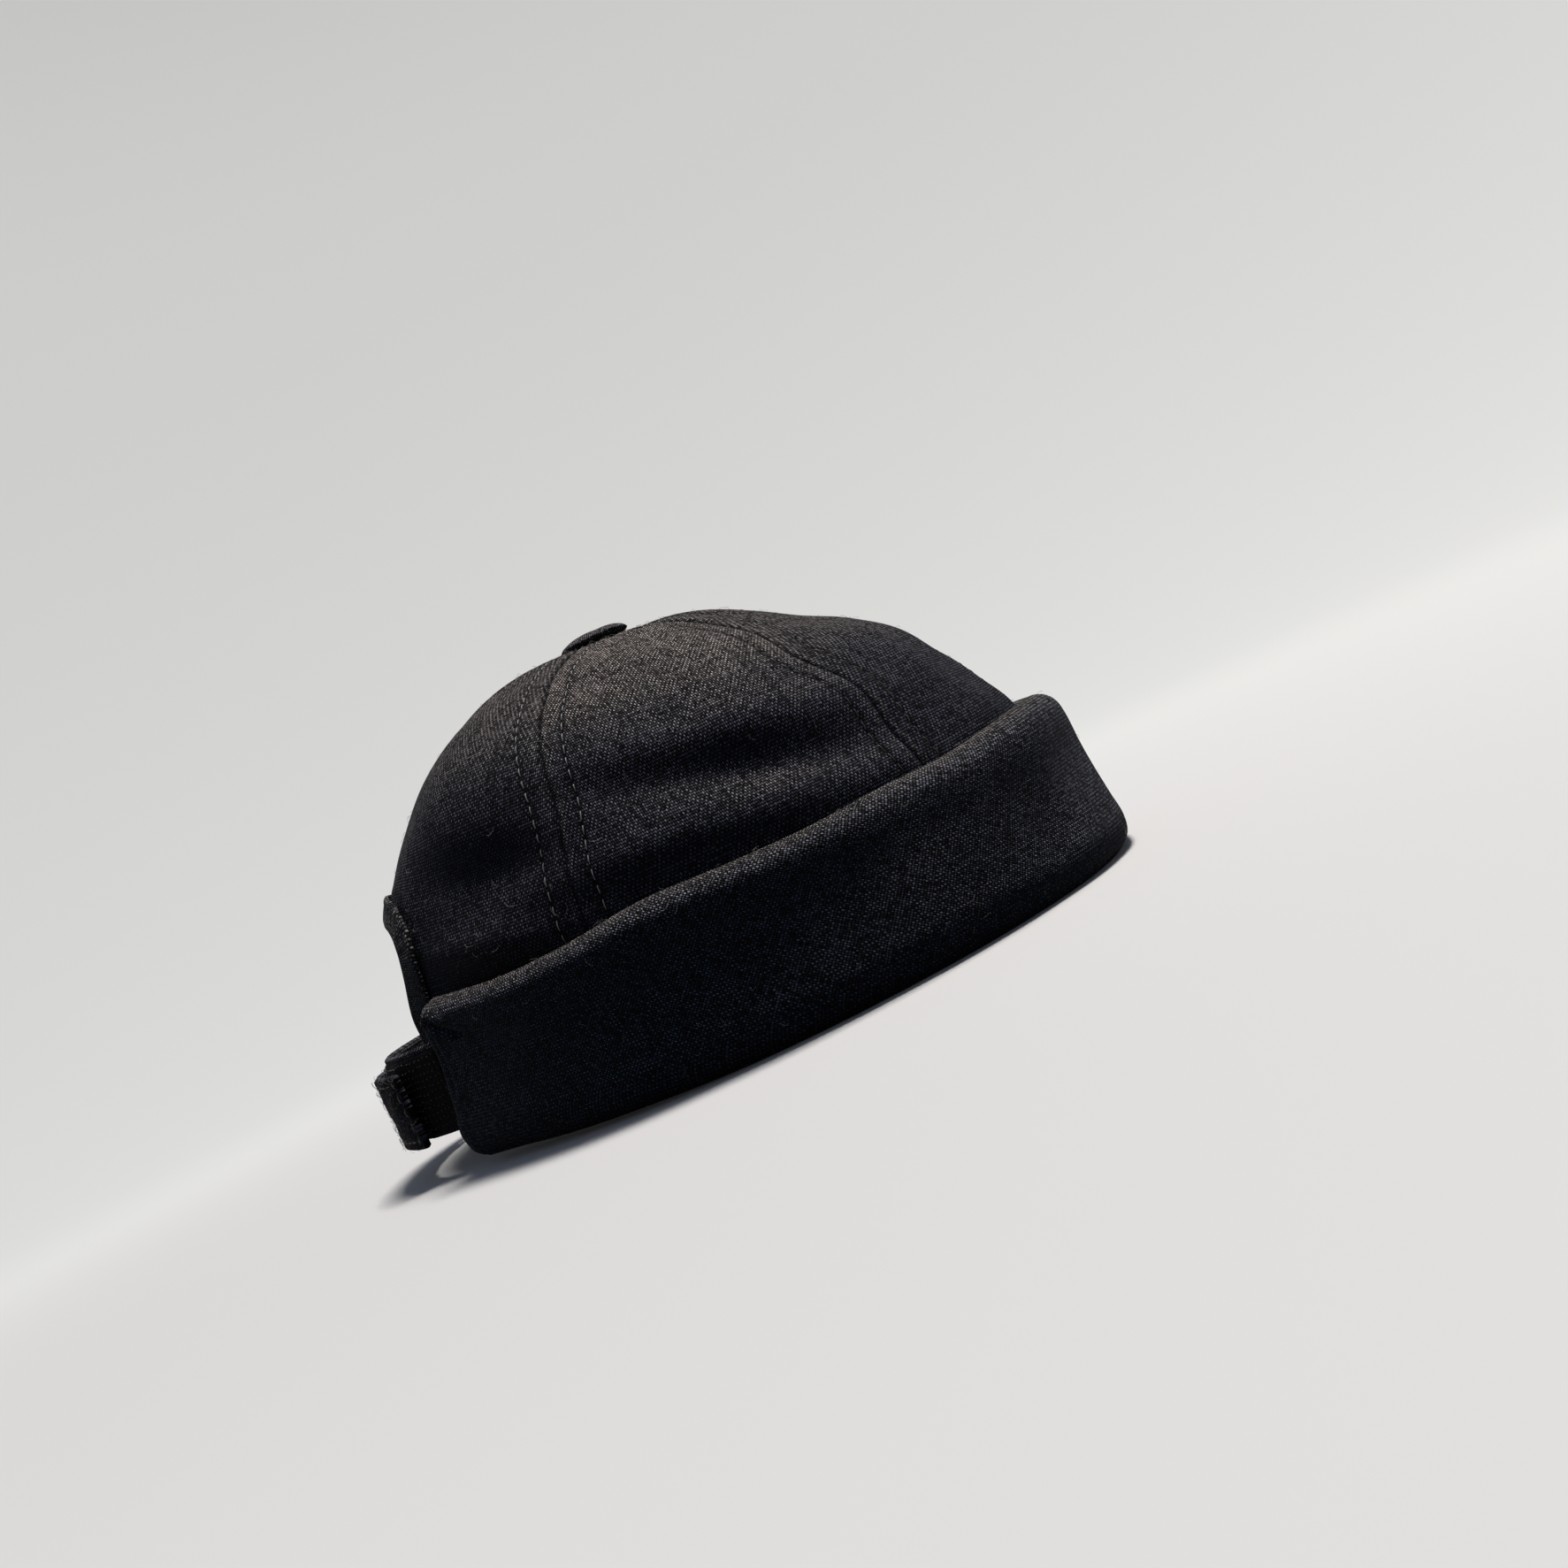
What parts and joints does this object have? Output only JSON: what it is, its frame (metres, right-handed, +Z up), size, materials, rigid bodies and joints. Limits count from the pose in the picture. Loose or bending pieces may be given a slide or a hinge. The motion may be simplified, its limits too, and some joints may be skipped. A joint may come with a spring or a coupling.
{
  "type": "docker beanie",
  "caption": "Soft brimless skullcap of sewn crown panels with a covered button, a turned-up cuff, and an arched back opening closed by overlapping hook-and-loop straps.",
  "frame": {"origin": "centre of the part's footprint at the level of the cuff's foot, on which it rests", "axes": "+Z up towards the button, -Y towards the forehead, +X towards the wearer's left"},
  "size_m": [0.1954, 0.2332, 0.1248],
  "materials": {
    "linen": "matte plain-weave linen, black, with slubs",
    "hook_tape": "black woven hook tape",
    "loop_tape": "black napped loop tape"
  },
  "bodies": {
    "root": {"panel_front_right": "linen", "panel_front_left": "linen", "panel_side_right": "linen", "panel_side_left": "linen", "panel_back_right": "linen", "panel_back_left": "linen", "cuff": "linen", "arch_binding": "linen", "top_button": "linen", "strap_right": "linen", "strap_left": "linen", "hook_patch": "hook_tape", "loop_patch": "loop_tape"}
  },
  "joints": []
}
